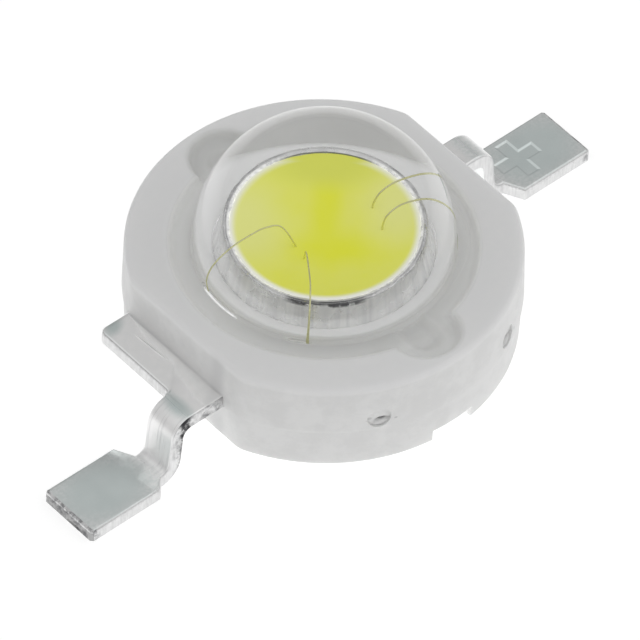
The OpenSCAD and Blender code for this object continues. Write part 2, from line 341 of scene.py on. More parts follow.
def cavity_stations(grow):
    """The cavity under the lens, from its lip down to the collar, grown into the plastic."""
    stations = []
    for r, z in arc(0, 0, LIP_R, 90, 180, 6):
        stations.append((recess(LIP_R + r + grow), HOUSING_TOP - LIP_R + z - grow))
    for r, z in arc(0, 0, SEAT_FILLET, 0, -90, 6):
        stations.append((recess(r - SEAT_FILLET + grow), SEAT_Z + SEAT_FILLET + z - grow))
    edge, steps = TRENCH_EDGE_R, 16
    outer, inner = recess(grow - SEAT_FILLET), circle(TRENCH_TOP_R + edge + grow)
    for i in range(1, steps):
        stations.append((between(outer, inner, i / steps), floor_at(SEAT_Z, grow)))
    for r, z in arc(TRENCH_TOP_R + edge, SEAT_Z - edge, edge, 90, 170, 6):
        stations.append((circle(r + grow), floor_at(z, grow)))
    for r, z in arc(TRENCH_FLOOR_R - edge, TRENCH_FLOOR_Z + edge, edge, -10, -90, 6):
        stations.append((circle(r + grow), z - grow))
    for r, z in arc(COLLAR_R + edge, TRENCH_FLOOR_Z + edge, edge, -90, -180, 6):
        stations.append((circle(r - grow), z - grow))
    edge = COLLAR_EDGE_R
    for r, z in arc(COLLAR_R - edge, COLLAR_Z - edge, edge, 0, 90, 6):
        stations.append((circle(r - grow), z - grow))
    return stations


def notch_tool(side):
    """A notch in the lower edge, whose moulded sides flare over the last bit of the wall."""
    outer = BODY_R + 0.1
    back = BODY_R - NOTCH_DEPTH
    half = NOTCH_W / 2
    flare = [(BODY_R - 0.13, 0), (BODY_R - 0.07, 0.012), (BODY_R - 0.04, 0.035), (outer, 0.2)]
    near = [(x, half + grow) for x, grow in flare]
    outline = [(x, -y) for x, y in reversed(near)] + [(back, -half), (back, half)] + near
    return prism_tool(outline[::-1], STANDOFF - 0.05, STANDOFF + NOTCH_H, 90 * side)


# Torn floor of a gate mark, from its middle: place, half width, half height and depth
STUB_Z, STUB_HALF, STUB_THIN, STUB_OUT = -0.17, 0.16, 0.06, 0.04
CLEFT_Y, CLEFT_Z, CLEFT_HALF, CLEFT_THIN, CLEFT_IN = 0.07, -0.075, 0.16, 0.03, 0.08
CLEFT_BOW, GATE_ROUGH = 2, 0.012
GATE_STEPS, GATE_RINGS = 48, 14


def gate_floor(y, z, seed):
    """How far a gate mark's torn floor stands out: a stub low down and a bowed cleft over it."""
    stub = STUB_OUT * bell(y, 0, STUB_HALF) * bell(z, STUB_Z, STUB_THIN)
    middle = CLEFT_Z - CLEFT_BOW * (y - CLEFT_Y) ** 2
    cleft = CLEFT_IN * bell((y - CLEFT_Y) ** 2, 0, CLEFT_HALF ** 2) * bell(z, middle, CLEFT_THIN)
    return stub - cleft + GATE_ROUGH * noise.noise(Vector((y, z, seed)) * 14)


def gate_tool(angle):
    """A gate mark: rings from its middle outwards on the torn floor, and one outside the wall."""
    start = BODY_R - GATE_DEPTH - wall_in(GATE_Z)
    verts = []
    for k in range(1, GATE_RINGS + 1):
        for i in range(GATE_STEPS):
            turn = 2 * math.pi * i / GATE_STEPS
            across, up = math.cos(turn), math.sin(turn)
            ragged = 1 + 0.04 * noise.noise(Vector((across, up, angle)) * 2)
            y, z = (GATE_R * ragged * k / GATE_RINGS * way for way in (across, up))
            verts.append((start + gate_floor(y, z, angle), y, GATE_Z + z))
    last = len(verts)
    verts += [(BODY_R + 0.2, y, z) for x, y, z in verts[-GATE_STEPS:]]
    pole = len(verts)
    verts.append((start + gate_floor(0, 0, angle), 0, GATE_Z))
    faces = stitch(GATE_STEPS, GATE_RINGS + 1) + [tuple(range(last, pole))]
    faces += [(pole, (i + 1) % GATE_STEPS, i) for i in range(GATE_STEPS)]
    return new_object("tool", rotated(verts, angle), faces)


def window_tool(turn, grow, low, top):
    """The opening in the trench floor over a stitch bond."""
    return prism_tool(arc(STITCH_R, 0, WINDOW_R + grow, 0, 360, 32)[:-1], low, top, turn)


def make_housing():
    stations = housing_stations()
    faces = stitch(len(ANGLES), len(stations), wrap=True)
    piece = mesh_piece("housing_moulding", loft(stations), faces, ["housing"])
    tools = [notch_tool(side) for side in (-1, 1)]
    tools += [gate_tool(angle) for angle in GATE_ANGLES]
    # The windows reach into the leads' slots
    low, top = PAD_TOP_Z - 0.05, TRENCH_FLOOR_Z + 0.1
    tools += [window_tool(turn, 0, low, top) for turn in STITCH_TURNS]
    tools += [lead_slot_tool(ANODE_SHOULDER, 0), lead_slot_tool(CATHODE_SHOULDER, 180)]
    combine(piece, tools, "DIFFERENCE")
    return piece


# Lens and gel

# The gel's ridge: its distance from the dome and half width, then the direction and spread in
# degrees of the places where it swings out and where it is high, and how much
RIDGE_OUT, RIDGE_HALF = 0.03, 0.035
RIDGE_SWING = (-38, 34, 0.22)
RIDGE_RISE = (-45, 60, 0.035)
# How deep the gel sinks over the ports, and its lumps in the near ear
GEL_SINK, GEL_LUMP = 0.012, 0.012


def flange_z(r, a):
    """Height of the flange's top, with the gel's ridge, its lumps and its hollows in the ports."""
    turn = math.degrees(a) % 360
    if turn > 180:
        turn -= 360
    middle, spread, reach = RIDGE_SWING
    ridge_r = DOME_R + RIDGE_OUT + reach * bell(turn, middle, spread)
    middle, spread, height = RIDGE_RISE
    ridge = height * bell(turn, middle, spread) * bell(r, ridge_r, RIDGE_HALF)
    x, y = r * math.cos(a), r * math.sin(a)
    port = math.hypot(x, abs(y) - EAR_Y)
    sunk = GEL_SINK / (1 + math.exp((port - PORT_R) / PORT_EDGE))
    if y < 0:
        lumps = rise(r, 2.9, 3.0) * (1 - rise(math.hypot(x, y + EAR_Y), 0.45, 0.62))
        sunk += GEL_LUMP * lumps * noise.noise(Vector((x, y, 0)) * 5)
    return FLANGE_TOP_Z - sunk + ridge


def optic_stations():
    dome = arc(0, DOME_Z, DOME_R, 88.5, 0, 59)
    foot = arc(DOME_R + DOME_FILLET, FLANGE_TOP_Z + DOME_FILLET, DOME_FILLET, 180, 270, 8)
    stations = turned(dome + foot)
    edge_r = RECESS_R - LIP_R - 0.06
    for i in range(1, 13):
        stations.append((circle(lerp(DOME_R + DOME_FILLET, edge_r, i / 12)), flange_z))
    rim = recess(-LIP_R)
    stations += [(between(circle(edge_r), rim, i / 16), flange_z) for i in range(1, 17)]
    # The gel climbs the housing's lip and ends level with it
    climb = HOUSING_TOP - 0.0025
    for t in (0.3, 0.6, 0.8, 1):
        stations.append((recess(lerp(-LIP_R, 0.75 * LIP_R, t)), lerp(FLANGE_TOP_Z, climb, t * t)))
    stations.append((recess(LIP_R), climb))
    stations += cavity_stations(CONTACT)
    stations += turned([
        (PILLAR_R - CONTACT, COLLAR_Z - CONTACT),
        (PILLAR_R - CONTACT, RIM_Z - CONTACT),
        (CUP_R, RIM_Z - CONTACT),
    ])
    return stations


def make_optic():
    stations = optic_stations()
    verts = loft(stations)
    faces = closed(verts, len(stations), DOME_Z + DOME_R, RIM_Z - CONTACT)
    piece = mesh_piece("lens_and_gel", verts, faces, ["lens", "silicone_fill"])
    low, top = PAD_TOP_Z - CONTACT, TRENCH_FLOOR_Z + 0.05
    combine(piece, [window_tool(turn, CONTACT, low, top) for turn in STITCH_TURNS], "UNION")
    return piece


# Slug and phosphor

def make_slug():
    """The slug with its cup, whose rim is rounded and a little uneven."""
    inner, outer = CUP_R + RIM_IN_R, PILLAR_R - RIM_OUT_R
    profile = [(CUP_FLOOR_R * i / 4, CUP_FLOOR_Z) for i in range(1, 5)]
    for t in (0.3, 0.6, 0.9, 0.96):
        profile.append((lerp(CUP_FLOOR_R, CUP_R, t), lerp(CUP_FLOOR_Z, RIM_Z, t)))
    profile += arc(inner, RIM_Z - RIM_IN_R, RIM_IN_R, 170, 90, 5)
    profile += [(lerp(inner, outer, t), RIM_Z) for t in (0.33, 0.66)]
    profile += arc(outer, RIM_Z - RIM_OUT_R, RIM_OUT_R, 90, 0, 8)
    profile += [(PILLAR_R, lerp(RIM_Z - RIM_OUT_R, COLLAR_Z, i / 6)) for i in range(1, 7)]
    profile += [
        (PILLAR_R, LOCK_TOP_Z), (LOCK_R, LOCK_TOP_Z), (LOCK_R, LOCK_Z), (GROOVE_R, LOCK_Z),
        (GROOVE_R, GROOVE_Z), (SLUG_R, GROOVE_Z), (SLUG_R, SLUG_CHAMFER),
        (SLUG_R - SLUG_CHAMFER, 0),
    ]
    verts = []
    for r, z in profile:
        for a in ANGLES:
            wave = 0
            if z > RIM_Z - 0.1 and r > CUP_R:
                wave = RIM_WAVE * noise.noise(Vector((math.cos(a), math.sin(a), r)) * 9)
            verts.append(((r - wave) * math.cos(a), (r - wave) * math.sin(a), z + wave))
    faces = closed(verts, len(profile), CUP_FLOOR_Z, 0)
    return mesh_piece("slug_with_cup", verts, faces, ["heat_slug"])


def make_phosphor():
    top = PHOSPHOR_TOP
    profile = [(CUP_R * i / 12, top + PHOSPHOR_BULGE * (1 - (i / 12) ** 2)) for i in range(1, 13)]
    profile += [(lerp(CUP_R, CUP_FLOOR_R, t), lerp(top, CUP_FLOOR_Z, t)) for t in (0.15, 0.5, 1)]
    profile += [(CUP_FLOOR_R * t, CUP_FLOOR_Z) for t in (0.66, 0.33)]
    verts = loft(turned(profile))
    faces = closed(verts, len(profile), top + PHOSPHOR_BULGE, CUP_FLOOR_Z)
    return mesh_piece("phosphor_in_cup", verts, faces, ["phosphor_fill"])


# Leads, as a flat pattern along u that is folded into the XZ plane

BEND_TURN = math.pi / 2 - LEAN
BEND_LEN = (BEND_R + LEAD_T / 2) * BEND_TURN
TOP_BEND_Z = LEAD_Z - BEND_R
LOW_BEND_Z = LEAD_T + BEND_R
RISER_LEN = (TOP_BEND_Z - LOW_BEND_Z + (2 * BEND_R + LEAD_T) * math.sin(LEAN)) / math.cos(LEAN)
LOW_BEND_X = BEND_X + (2 * BEND_R + LEAD_T) * math.cos(LEAN) + RISER_LEN * math.sin(LEAN)
RISER_START = BEND_X + BEND_LEN
RISER_END = RISER_START + RISER_LEN
FOOT_START = RISER_END + BEND_LEN
FOOT_END = FOOT_START + LEAD_TIP - LOW_BEND_X


def folded(u, s):
    """Place in the XZ plane of the flat pattern's point u, at height s in the strip's thickness."""
    if u <= BEND_X:
        return u, LEAD_Z + s
    if u <= RISER_END:
        a = max(LEAN, math.pi / 2 - BEND_TURN * (u - BEND_X) / BEND_LEN)
        reach, run = BEND_R + s, max(0, u - RISER_START)
        return (
            BEND_X + reach * math.cos(a) + run * math.sin(LEAN),
            TOP_BEND_Z + reach * math.sin(a) - run * math.cos(LEAN),
        )
    if u <= FOOT_START:
        a = math.pi + LEAN + BEND_TURN * (u - RISER_END) / BEND_LEN
        reach = BEND_R + LEAD_T - s
        return LOW_BEND_X + reach * math.cos(a), LOW_BEND_Z + reach * math.sin(a)
    return LOW_BEND_X + u - FOOT_START, s


def neck_stations():
    """Places along the neck: the upper bend, the riser and the lower bend."""
    parts = (BEND_X, RISER_START, 12), (RISER_START, RISER_END, 6), (RISER_END, FOOT_START, 12)
    return [lerp(start, end, i / n) for start, end, n in parts for i in range(n)] + [FOOT_START]


def flat_points(shoulder):
    """Outline of a lead's flat part, from the neck's upper edge round the pad to its lower edge."""
    width, out = shoulder
    low = NECK_HIGH - width
    edge_x = FLAT_X + out
    top_turn = math.degrees(math.asin(NECK_HIGH / PAD_OUT_R))
    low_turn = math.degrees(math.asin(max(-math.sin(PAD_HALF), low / PAD_OUT_R)))
    half = math.degrees(PAD_HALF)
    points = [(BEND_X - 0.05 * i, NECK_HIGH) for i in range(1, 17)] + [(3.0, NECK_HIGH)]
    points += arc(0, 0, PAD_OUT_R, top_turn, half, 6)
    points += arc(0, 0, PAD_IN_R, half, -half, 24)
    points += arc(0, 0, PAD_OUT_R, -half, low_turn, 4)
    points += [(3.2, low), (3.6, low)]
    points += arc(edge_x - SHOULDER_R, low + SHOULDER_R, SHOULDER_R, -90, 0, 6)
    points += [(edge_x, lerp(low, NECK_LOW, t)) for t in (0.35, 0.6)]
    points += arc(edge_x + NECK_FILLET, NECK_LOW - NECK_FILLET, NECK_FILLET, 180, 90, 6)
    return points


def lead_slot_tool(shoulder, turn):
    """The space that a lead's flat part takes up in the housing."""
    outline = flat_points(shoulder) + [(BEND_X, NECK_LOW), (BEND_X, NECK_HIGH)]
    return prism_tool(outline, LEAD_Z, LEAD_Z + LEAD_T, turn)


def inset_loop(points, d):
    """The closed outline moved in by d, mitred at its corners."""
    moved = []
    n = len(points)
    for i, p in enumerate(points):
        before, here, after = Vector(points[i - 1]), Vector(p), Vector(points[(i + 1) % n])
        first = (here - before).orthogonal().normalized()
        middle = (first + (after - here).orthogonal().normalized()).normalized()
        moved.append(tuple(here + middle * d / max(middle.dot(first), 0.3)))
    return moved


# Heights in the strip over which its sides are torn, and how deep
TORN_UP, TORN_DOWN, TORN_DEPTH = (0.02, 0.06), (0.2, 0.27), 0.07
# Heights in the strip with how far its side is drawn in there, for the worn and rolled edges
STRIP_LEVELS = [
    (0.0, 0.02), (0.006, 0.006), (0.02, 0.0), (0.05, 0.0), (0.08, 0.0), (0.11, 0.0), (0.14, 0.0),
    (0.17, 0.0), (0.2, 0.0), (0.235, 0.004), (0.265, 0.014), (0.287, 0.032), (LEAD_T, 0.065),
]
# Places of the materials in a lead's list
PLATED, SHEARED, BROKEN = 0, 1, 2


def torn(along, s, low, high):
    """How deep a sheared side is pitted at height s where it is torn, between low and high."""
    zone = band(along, (low, low + 0.2), (high - 0.2, high)) * band(s, TORN_UP, TORN_DOWN)
    return TORN_DEPTH * zone * max(0, 0.1 + noise.noise(Vector((along * 7, s * 12, low))))


def make_lead(name, node, shoulder, turn):
    stations = neck_stations()
    tip_steps = 24
    tip_low, tip_high = FOOT_LOW + FOOT_CORNER, FOOT_HIGH - FOOT_CORNER
    foot = [(FOOT_START + FOOT_CHAMFER, FOOT_LOW), (FOOT_END - FOOT_CORNER, FOOT_LOW)]
    foot += [(FOOT_END, lerp(tip_low, tip_high, i / tip_steps)) for i in range(tip_steps + 1)]
    foot += [(FOOT_END - FOOT_CORNER, FOOT_HIGH), (FOOT_START + FOOT_CHAMFER, FOOT_HIGH)]
    lower = [(u, NECK_LOW) for u in stations]
    upper = [(u, NECK_HIGH) for u in reversed(stations)]
    outline = lower + foot + upper + flat_points(shoulder)
    n, m, layers = len(outline), len(stations), len(STRIP_LEVELS) - 1
    verts = []
    for s, inset in STRIP_LEVELS:
        for u, y in inset_loop(outline, inset):
            if u > FOOT_END - 0.01:
                u -= torn(y, s, FOOT_LOW, FOOT_HIGH)
            elif y > NECK_HIGH - 0.1:
                y -= torn(u, s, FLAT_X, RISER_END)
            x, z = folded(u, s)
            verts.append((x, y, z))
    faces = stitch(n, layers + 1)
    slots = []
    for k in range(layers):
        for i in range(n):
            if m < i < m + 3 + tip_steps:
                slots.append(BROKEN if 1 < k < layers - 3 else SHEARED)
            else:
                slots.append(PLATED if k > layers - 2 else SHEARED)
    # Underside and top: the flat part, the foot, and a quad for each step along the neck
    upper_end = m + len(foot) + m - 1
    loops = [[*range(upper_end, n), 0], [*range(m - 1, m + len(foot) + 1)]]
    loops += [[k, k + 1, upper_end - k - 1, upper_end - k] for k in range(m - 1)]
    faces += [tuple(loop[::-1]) for loop in loops]
    faces += [tuple(layers * n + i for i in loop) for loop in loops]
    slots += [PLATED] * 2 * len(loops)
    return mesh_piece(name, rotated(verts, turn), faces, [node], 40, slots)


def plus_outline(grow):
    """The twelve corners of the plus sign's outline, moved out by grow."""
    reach, half = MARK_REACH + grow, MARK_HALF + grow
    arm = [(reach, -half), (reach, half), (half, half)]
    corners = []
    for _ in range(4):
        corners += [(MARK_X + u, MARK_Y + v) for u, v in arm]
        arm = [(-v, u) for u, v in arm]
    return corners


def press_plus(piece):
    """Presses the plus sign into the foot's top, with sloped sides."""
    above = 0.01
    low, top = plus_outline(-MARK_RUN), plus_outline(above * MARK_RUN / MARK_DEPTH)
    verts, faces = prism(low, LEAD_T - MARK_DEPTH, LEAD_T + above, top)
    combine(piece, [new_object("tool", verts, faces)], "DIFFERENCE", 12)


# Bond wires: each one's bends from the chip's ball to the pad, chosen one by one

WIRES = {
    "bond_wire_1": [
        (-0.34, 0.12, 2.38), (-0.39, 0.15, 2.62), (-0.53, 0.33, 2.95), (-0.76, 0.43, 3.02),
        (-1.02, 0.5, 2.99), (-1.45, 0.62, 2.84), (-1.8, 0.76, 2.45), (-1.9, 0.81, 1.9),
        (-1.96, 0.83, 1.55),
    ],
    "bond_wire_2": [
        (-0.42, -0.06, 2.38), (-0.45, -0.09, 2.6), (-0.53, -0.19, 2.86), (-0.79, -0.51, 3.0),
        (-1.12, -0.92, 2.97), (-1.38, -1.19, 2.6), (-1.48, -1.27, 2.1), (-1.53, -1.3, 1.56),
    ],
    "bond_wire_3": [
        (0.48, 0.08, 2.38), (0.76, 0.03, 2.48), (0.82, 0.02, 2.68), (0.95, 0, 2.84),
        (1.2, -0.03, 2.89), (1.6, -0.08, 2.76), (1.86, -0.11, 2.46), (1.95, -0.13, 2.0),
        (1.99, -0.14, 1.55),
    ],
    "bond_wire_4": [
        (0.45, -0.24, 2.38), (0.66, -0.33, 2.46), (0.7, -0.35, 2.68), (0.8, -0.37, 2.85),
        (1.05, -0.39, 2.9), (1.42, -0.49, 2.82), (1.7, -0.64, 2.54), (1.8, -0.7, 2.1),
        (1.85, -0.74, 1.55),
    ],
}
WIRE_R, WIRE_SIDES, WIRE_STEPS = 0.0125, 12, 8
# How much the ball and the stitch widen the wire, and over how many steps of its path
BALL_SWELL, BALL_TAIL = 2.2, 2.2
STITCH_SWELL, STITCH_TAIL = 1.3, 14


def smooth_path(points, steps):
    """A Catmull-Rom curve through the points."""
    p = [Vector(q) for q in points]
    p = [2 * p[0] - p[1]] + p + [2 * p[-1] - p[-2]]
    out = []
    for i in range(1, len(p) - 2):
        a, b, c, d = p[i - 1:i + 3]
        square, cube = 2 * a - 5 * b + 4 * c - d, 3 * b - a - 3 * c + d
        for k in range(steps):
            t = k / steps
            out.append(0.5 * (2 * b + (c - a) * t + square * t ** 2 + cube * t ** 3))
    return out + [p[-2]]


def make_wire(node, points):
    path = smooth_path(points, WIRE_STEPS)
    last = len(path) - 1
    verts = []
    side = Vector((1, 0, 0))
    for k, here in enumerate(path):
        ahead = (path[min(k + 1, last)] - path[max(k - 1, 0)]).normalized()
        side = (side - ahead * side.dot(ahead)).normalized()
        up = ahead.cross(side)
        swell = BALL_SWELL * bell(k, 0, BALL_TAIL) + STITCH_SWELL * bell(k, last, STITCH_TAIL)
        for j in range(WIRE_SIDES):
            a = 2 * math.pi * j / WIRE_SIDES
            out = side * math.cos(a) + up * math.sin(a)
            verts.append(tuple(here + out * WIRE_R * (1 + swell)))
    faces = stitch(WIRE_SIDES, last + 1)
    faces.append(tuple(range(WIRE_SIDES))[::-1])
    faces.append(tuple(range(last * WIRE_SIDES, (last + 1) * WIRE_SIDES)))
    return mesh_piece(f"gold_{node}", verts, faces, [node], 60)


# Materials

WHITE = (1.0, 1.0, 1.0, 1)


class Nodes:
    """A node tree, built a node at a time."""

    def __init__(self, tree):
        self.tree = tree
        tree.nodes.clear()

    def node(self, kind, inputs=None, **settings):
        """A new node with its settings and inputs."""
        made = self.tree.nodes.new(kind)
        for key, value in settings.items():
            setattr(made, key, value)
        self.give(made, inputs or {})
        return made

    def give(self, node, inputs):
        """Sets each of the inputs to a value or links it to another node's output."""
        for key, value in inputs.items():
            if isinstance(value, bpy.types.NodeSocket):
                self.tree.links.new(value, node.inputs[key])
            else:
                node.inputs[key].default_value = value

    def math(self, operation, *values):
        return self.node("ShaderNodeMath", dict(enumerate(values)), operation=operation).outputs[0]

    def vector(self, operation, *values):
        """The outputs of a vector operation on outputs or constant vectors."""
        inputs = dict(enumerate(values))
        return self.node("ShaderNodeVectorMath", inputs, operation=operation).outputs

    def times(self, value, *others):
        """The product of all values."""
        for other in others:
            value = self.math("MULTIPLY", value, other)
        return value

    def inverse(self, value):
        return self.math("SUBTRACT", 1.0, value)

    def ramp(self, value, low, high, first=0.0, last=1.0):
        """Maps value from low..high to first..last with a smooth step."""
        return self.node("ShaderNodeMapRange", {
            "Value": value, "From Min": low, "From Max": high, "To Min": first, "To Max": last,
        }, interpolation_type="SMOOTHSTEP").outputs[0]


class Shader(Nodes):
    """A material with one principled shader. Lengths are given in millimetres.

    A patch is a soft ellipse in plan: its middle, half length and half width, its turn in
    degrees, and the shares of its size at which it begins and ends to fade.
    """

    def __init__(self, name):
        self.material = bpy.data.materials.new(name)
        self.material.use_nodes = True
        super().__init__(self.material.node_tree)
        self.surface = self.node("ShaderNodeBsdfPrincipled")
        self.node("ShaderNodeOutputMaterial", {0: self.surface.outputs[0]})
        self.coords = self.node("ShaderNodeTexCoord").outputs["Object"]

    def set(self, **values):
        names = {
            "color": "Base Color", "metallic": "Metallic", "roughness": "Roughness", "ior": "IOR",
            "transmission": "Transmission Weight", "subsurface": "Subsurface Weight",
            "radius": "Subsurface Radius", "scale": "Subsurface Scale",
            "specular": "Specular IOR Level", "normal": "Normal",
            "emission": "Emission Color", "glow": "Emission Strength",
        }
        self.give(self.surface, {names[key]: value for key, value in values.items()})

    def noise(self, size, detail=3.0, rough=0.55, stretch=None, distortion=0.0):
        """Noise from 0 to 1 with features of a size, stretched by a vector of shares."""
        source = self.coords
        if stretch:
            source = self.node("ShaderNodeMapping", {"Scale": stretch, "Vector": source}).outputs[0]
        return self.node("ShaderNodeTexNoise", {
            "Vector": source, "Scale": 1 / (size * MM), "Detail": detail, "Roughness": rough,
            "Distortion": distortion,
        }).outputs[0]

    def axis(self, index):
        """Distance along the part's X, Y or Z axis."""
        return self.node("ShaderNodeSeparateXYZ", {0: self.coords}).outputs[index]

    def plan_length(self, source):
        """Length in plan of a vector."""
        return self.vector("LENGTH", self.vector("MULTIPLY", source, (1, 1, 0))[0])["Value"]

    def span(self, length, low, high, first=0.0, last=1.0):
        """Maps a length from low..high to first..last with a smooth step."""
        return self.ramp(length, low * MM, high * MM, first, last)

    def band(self, length, up, down):
        """0 outside a band of lengths and 1 inside it, with smooth steps over both ranges."""
        return self.times(self.span(length, *up), self.span(length, *down, 1, 0))

    def ring(self, inner, outer, edge):
        """1 between two distances from the axis in plan, with soft edges."""
        away = self.plan_length(self.coords)
        return self.band(away, (inner - edge, inner + edge), (outer - edge, outer + edge))

    def local(self, place, sizes, turn):
        """The coordinates in a box at a place, turned about Z, as shares of its half sizes."""
        return self.node("ShaderNodeMapping", {
            "Vector": self.coords, "Location": [v * MM for v in place],
            "Rotation": (0, 0, math.radians(turn)), "Scale": [v * MM for v in sizes],
        }, vector_type="TEXTURE").outputs[0]

    def patch(self, x, y, half_length, half_width, turn, full=0.2, none=1.5):
        """1 inside a patch and 0 outside it."""
        inside = self.local((x, y, 0), (half_length, half_width, 1), turn)
        return self.ramp(self.plan_length(inside), full, none, 1, 0)

    def spot(self, place, sizes, turn, full=0.5, none=1.0):
        """1 inside a soft ellipsoid of half sizes, turned about Z, and 0 outside it."""
        size = self.vector("LENGTH", self.local(place, sizes, turn))["Value"]
        return self.ramp(size, full, none, 1, 0)

    def cover(self, value, patches):
        """The value and the patches, joined softly."""
        for patch in patches:
            rest = self.inverse(self.patch(*patch))
            value = self.inverse(self.times(rest, self.inverse(value)))
        return value

    def mix(self, factor, first, second):
        """Mixes two colours by a factor."""
        first, second = ((*c, 1) if isinstance(c, tuple) else c for c in (first, second))
        inputs = {0: factor, 6: first, 7: second}
        return self.node("ShaderNodeMix", inputs, data_type="RGBA").outputs[2]

    def bump(self, height, distance, strength=1.0, before=None):
        """A bump of height 0 to 1 times a distance."""
        inputs = {"Strength": strength, "Distance": distance * MM, "Height": height}
        if before:
            inputs["Normal"] = before
        return self.node("ShaderNodeBump", inputs).outputs[0]


# Where the painted shade that greys the side wall and the painted light of the wet cavity end:
# heights, and distances from the axis
WALL_FADE = (HOUSING_TOP - 0.16, HOUSING_TOP - 0.005)
GEL_EDGE = (HOUSING_TOP - 0.01, HOUSING_TOP - 0.002)
CAVITY_EDGE = (3.2, 3.4)
CAVITY_EARS = [(0, way * EAR_Y, EAR_R + 0.1, EAR_R + 0.1, 0, 1.05, 1.2) for way in (-1, 1)]
# Painted shade in a band round the dome's foot, and a painted highlight where the gel meets the lip
DOME_FOOT_SHADE_BAND = (2.5, 2.6), (2.7, 3.0)
LIP_HIGHLIGHT_BAND = (2.85, 3.08), (3.1, 3.16)
# Painted shade: on the wall beside the cathode's shoulder, over the far ear, and by the near ear
CATHODE_WALL_SHADE = (-3.65, -1.0, 0.25, 0.2, 0)
SHADED = [(0, 3.08, 0.82, 0.74, 0, 0.7, 1.15)]
NEAR_EAR_SHADE = [(-0.55, -2.66, 0.6, 0.26, 12), (0.0, -3.0, 0.6, 0.55, 0), (0.52, -3.1, 0.16, 0.4, 0)]
# Darker spots in a gate mark, the darkest a painted shade along its cleft: place along the wall and
# up it, half sizes, strength and colour
GATE_SPOT_R = BODY_R - 0.08
GATE_SPOTS_AND_SHADE = [
    (0.0, -0.2, (0.22, 0.2, 0.09), 0.4, (0.6, 0.6, 0.6)),
    (CLEFT_Y, CLEFT_Z, (0.2, 0.2, 0.045), 0.8, (0.25, 0.25, 0.255)),
    (0.34, -0.09, (0.05, 0.2, 0.035), 0.5, (0.4, 0.4, 0.4)),
    (-0.21, -0.03, (0.1, 0.2, 0.045), 0.5, (0.45, 0.45, 0.45)),
]


def plastic_material():
    """White moulding, mottled, with painted light that makes it brightest under the gel and painted
    shade that greys the side walls.
    """
    s = Shader("housing_plastic")
    cloud = s.noise(1.6, 4)
    fine = s.noise(0.25, 3)
    up, away = s.axis(2), s.plan_length(s.coords)
    inside = s.cover(s.span(away, *CAVITY_EDGE, 1, 0), CAVITY_EARS)
    shaded_wall = s.times(s.span(up, *WALL_FADE, 1, 0), s.inverse(inside))
    cavity = s.times(s.span(up, *GEL_EDGE, 1, 0), inside)
    color = s.mix(s.ramp(cloud, 0.35, 0.65), (0.935, 0.94, 0.94), (0.96, 0.96, 0.955))
    color = s.mix(s.ramp(fine, 0.3, 0.7, 0, 0.6), color, (0.925, 0.93, 0.93))
    blotch = s.ramp(s.noise(0.7, 5, 0.7), 0.38, 0.62)
    # Painted shade greys the side walls, mottled
    color = s.mix(shaded_wall, color, s.mix(blotch, (0.755, 0.755, 0.75), (0.805, 0.805, 0.8)))
    # Painted shade on the wall beside the cathode's shoulder
    color = s.mix(s.times(shaded_wall, s.patch(*CATHODE_WALL_SHADE)), color, (0.68, 0.68, 0.68))
    # Gate marks: darker spots broken up by noise, with painted shade along the cleft
    gate_breakup = s.ramp(s.noise(0.12, 3), 0.35, 0.5, 0.25, 1)
    for angle in GATE_ANGLES:
        for along, above, sizes, strength, tone in GATE_SPOTS_AND_SHADE:
            place = rotated([(GATE_SPOT_R, along, GATE_Z + above)], angle)[0]
            gate_spot = s.times(s.spot(place, sizes, angle + 90), gate_breakup, strength)
            color = s.mix(gate_spot, color, tone)
    # Painted shade in a band round the dome's foot
    dome_foot_shade = s.band(away, *DOME_FOOT_SHADE_BAND)
    # Painted light: the cavity under the gel is near white
    color = s.mix(cavity, color, s.mix(dome_foot_shade, (0.99, 0.99, 0.985), (0.925, 0.925, 0.92)))
    # Painted shade on the collar's rounded outer edge
    collar_edge_shade = s.ring(COLLAR_R - 0.035, COLLAR_R + 0.04, 0.035)
    collar_edge_shade = s.times(collar_edge_shade, s.span(up, COLLAR_Z - 0.1, COLLAR_Z - 0.04))
    color = s.mix(collar_edge_shade, color, (0.86, 0.86, 0.855))
    # Painted shade over the far ear and by the near ear
    color = s.mix(s.cover(0.0, SHADED), color, (0.83, 0.83, 0.825))
    color = s.mix(s.cover(0.0, NEAR_EAR_SHADE), color, (0.88, 0.88, 0.875))
    # A painted highlight: a faint glowing line where the gel meets the lip
    lip_highlight = s.times(s.band(away, *LIP_HIGHLIGHT_BAND), 0.022)
    grain = s.bump(s.noise(0.03, 2), 0.0005)
    s.set(
        color=color, roughness=s.ramp(fine, 0.3, 0.7, 0.36, 0.48), ior=1.5,
        subsurface=0.6, radius=(0.15, 0.15, 0.15), scale=MM,
        normal=s.bump(s.noise(0.5, 2), 0.003, 1, grain),
        # The cavity glows faintly with painted light, with a painted highlight along the lip
        emission=(1.0, 1.0, 0.99, 1), glow=s.times(cavity, s.math("ADD", lip_highlight, 0.015)),
    )
    return s.material


# How far out the film begins, the upper bends have drawn marks and the strip glows with painted
# light
FILM_START = (4.25, 4.45)
BEND_BAND = (4.45, 4.6), (4.95, 5.5)
STRIP_GLOW_BAND = (3.6, 3.65), (5.0, 5.4)
# Patches of the green film on the cathode's shoulder and neck, and on the anode's bend
FILM_PATCHES = [(-4.1, 1.6, 0.26, 0.16, 20), (-4.5, -0.8, 0.42, 0.2, 90)]
FILM_ON_BEND = (4.5, 0.75, 0.3, 0.6, 0)
# The feet's middles, round which the film is rubbed, and a scratch on the shoulder
FOOT_MIDDLES = [(way * 6.3, way * 0.7, 0.95, 0.72, 0, 0.5, 1.35) for way in (-1, 1)]
SCRATCH = (-3.88, 0.75, 0.36, 0.02, 93)


